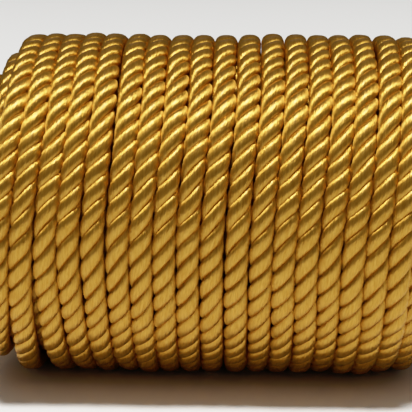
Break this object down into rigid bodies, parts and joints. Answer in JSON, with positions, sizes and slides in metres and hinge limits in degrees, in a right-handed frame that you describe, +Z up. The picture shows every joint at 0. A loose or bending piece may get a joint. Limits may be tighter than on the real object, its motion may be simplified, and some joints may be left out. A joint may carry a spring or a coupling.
{
  "type": "cord roll",
  "caption": "Roll of twisted satin macrame cord, wound side by side in nested layers with sloping ends and an open middle, lying on its side.",
  "frame": {"origin": "middle of the small flat on which the roll lies, halfway between its ends", "axes": "+X along the roll's axis, to the right in the picture; +Y away from the camera; +Z up"},
  "size_m": [0.1101, 0.079, 0.0777],
  "materials": {
    "satin_cord": "satin twisted yarn"
  },
  "bodies": {
    "root": {"cord_roll": "satin_cord"}
  },
  "joints": []
}
